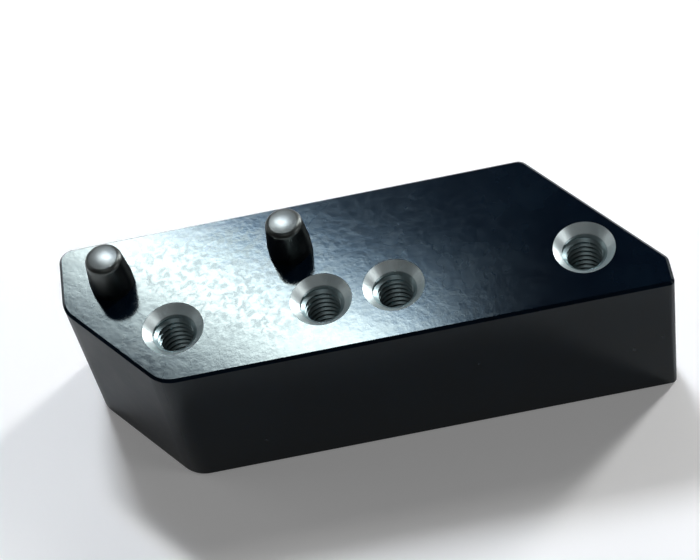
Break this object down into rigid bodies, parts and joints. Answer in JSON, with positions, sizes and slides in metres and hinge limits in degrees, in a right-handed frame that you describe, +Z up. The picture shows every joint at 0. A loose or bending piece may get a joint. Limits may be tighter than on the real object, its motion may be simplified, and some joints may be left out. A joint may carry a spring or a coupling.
{
  "type": "machined mounting block",
  "caption": "Black anodised aluminium bar block with mitred ends, a front row of countersunk tapped holes and upright steel locating dowels along the back.",
  "frame": {"origin": "middle of the bar's length and width, on the plain seating face underneath", "axes": "+Z up out of the seating face, through the tapped holes and the dowels; +X along the bar, towards the end that keeps its square front corner; -Y is the long front face beside the tapped holes"},
  "size_m": [0.081, 0.025, 0.0312],
  "materials": {
    "black_anodised_aluminium": "satin black anodise, bare bright metal in the countersinks and tapped holes, which were cut after it",
    "dark_hardened_steel": "ground and oiled"
  },
  "bodies": {
    "root": {"mounting_block": "black_anodised_aluminium", "dowel_pin_left": "dark_hardened_steel", "dowel_pin_right": "dark_hardened_steel"}
  },
  "joints": []
}
